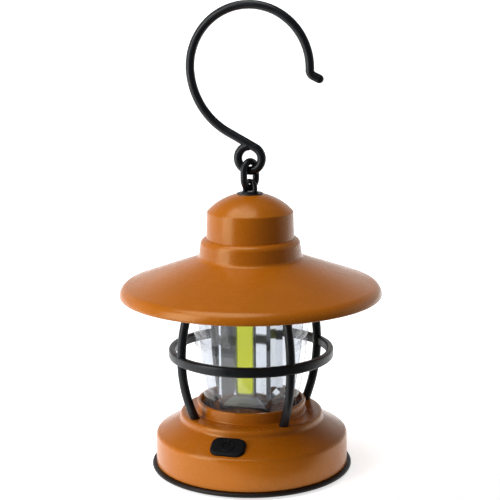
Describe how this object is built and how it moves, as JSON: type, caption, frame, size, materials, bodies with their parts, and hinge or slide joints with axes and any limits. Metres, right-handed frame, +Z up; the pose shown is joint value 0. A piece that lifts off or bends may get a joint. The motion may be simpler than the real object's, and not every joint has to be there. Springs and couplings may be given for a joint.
{
  "type": "camping lantern",
  "caption": "Small hanging battery lantern: flared shade, clear chimney in a ribbed cage round a mirrored light column, drum base with a button, and a swivelling wire hook.",
  "frame": {"origin": "centre of the circle that the lantern stands on, on the table", "axes": "+Z up along the lantern's axis, -Y towards the push button, +X to the right seen from the button"},
  "size_m": [0.088, 0.088, 0.1573],
  "materials": {
    "shade_paint": "satin",
    "base_paint": "satin",
    "white_paint": "satin",
    "cage_black": "satin",
    "hook_black": "satin",
    "link_black": "satin",
    "eye_black": "satin",
    "grommet_black": "satin",
    "clear_lens": "gloss",
    "gasket_rubber": "matte",
    "mirror_plating": "polished",
    "core_aluminium": "satin",
    "cob_white": "matte",
    "phosphor_yellow": "satin",
    "button_rubber": "matte",
    "switch_steel": "satin",
    "inner_black": "matte",
    "board_green": "satin",
    "cell_wrap": "gloss",
    "contact_nickel": "satin",
    "screw_steel": "satin",
    "lead_red": "satin",
    "lead_white": "satin",
    "cover_black": "matte",
    "rim_rubber": "satin"
  },
  "bodies": {
    "lantern": {"shade": "shade_paint", "crown_plate": "white_paint", "plate_screws": "screw_steel", "eye_grommet": "grommet_black", "eye_washer": "screw_steel", "cage": "cage_black", "cage_screws": "screw_steel", "lens": "clear_lens", "lens_gasket": "gasket_rubber", "lens_top_seal": "gasket_rubber", "reflector": "mirror_plating", "led_core": "core_aluminium", "cob_board_front": "cob_white", "cob_board_rear": "cob_white", "phosphor_front": "phosphor_yellow", "phosphor_rear": "phosphor_yellow", "core_screws": "screw_steel", "base_shell": "base_paint", "switch_body": "switch_steel", "switch_board": "board_green", "switch_screws": "screw_steel", "circuit_board": "board_green", "driver_chip": "inner_black", "board_screws": "screw_steel", "battery_tray": "inner_black", "tray_screws": "screw_steel", "battery_cell_1": "cell_wrap", "battery_cell_2": "cell_wrap", "battery_cell_3": "cell_wrap", "contact_plates": "contact_nickel", "contact_springs": "contact_nickel", "battery_leads": "lead_red", "switch_leads": "lead_white", "led_leads": "lead_white"},
    "eye": {"top_eye": "eye_black", "eye_nut": "screw_steel"},
    "link": {"chain_link": "link_black"},
    "hook": {"hook": "hook_black"},
    "button": {"push_button": "button_rubber", "switch_plunger": "inner_black"},
    "cover": {"bottom_cover": "cover_black", "rim_ring": "rim_rubber"}
  },
  "joints": [
    {"name": "eye_swivel", "type": "hinge", "parent": "lantern", "child": "eye", "pos_m": [0, 0, 0.0945], "axis": [0, 0, 1], "continuous": true},
    {"name": "link_swing", "type": "hinge", "parent": "eye", "child": "link", "pos_m": [0, 0, 0.09615], "axis": [0.4226, 0.9063, 0], "range_deg": [-45, 45]},
    {"name": "hook_swing", "type": "hinge", "parent": "link", "child": "hook", "pos_m": [0, 0, 0.1059], "axis": [0, 1, 0], "range_deg": [-50, 50]},
    {"name": "button_press", "type": "slide", "parent": "lantern", "child": "button", "axis": [0, 0.497, -0.8678], "range_m": [0, 0.0008], "stiffness_N_per_m": 2000},
    {"name": "cover_turn", "type": "hinge", "parent": "lantern", "child": "cover", "pos_m": [0, 0, 0.0014], "axis": [0, 0, 1], "range_deg": [0, 40]}
  ]
}
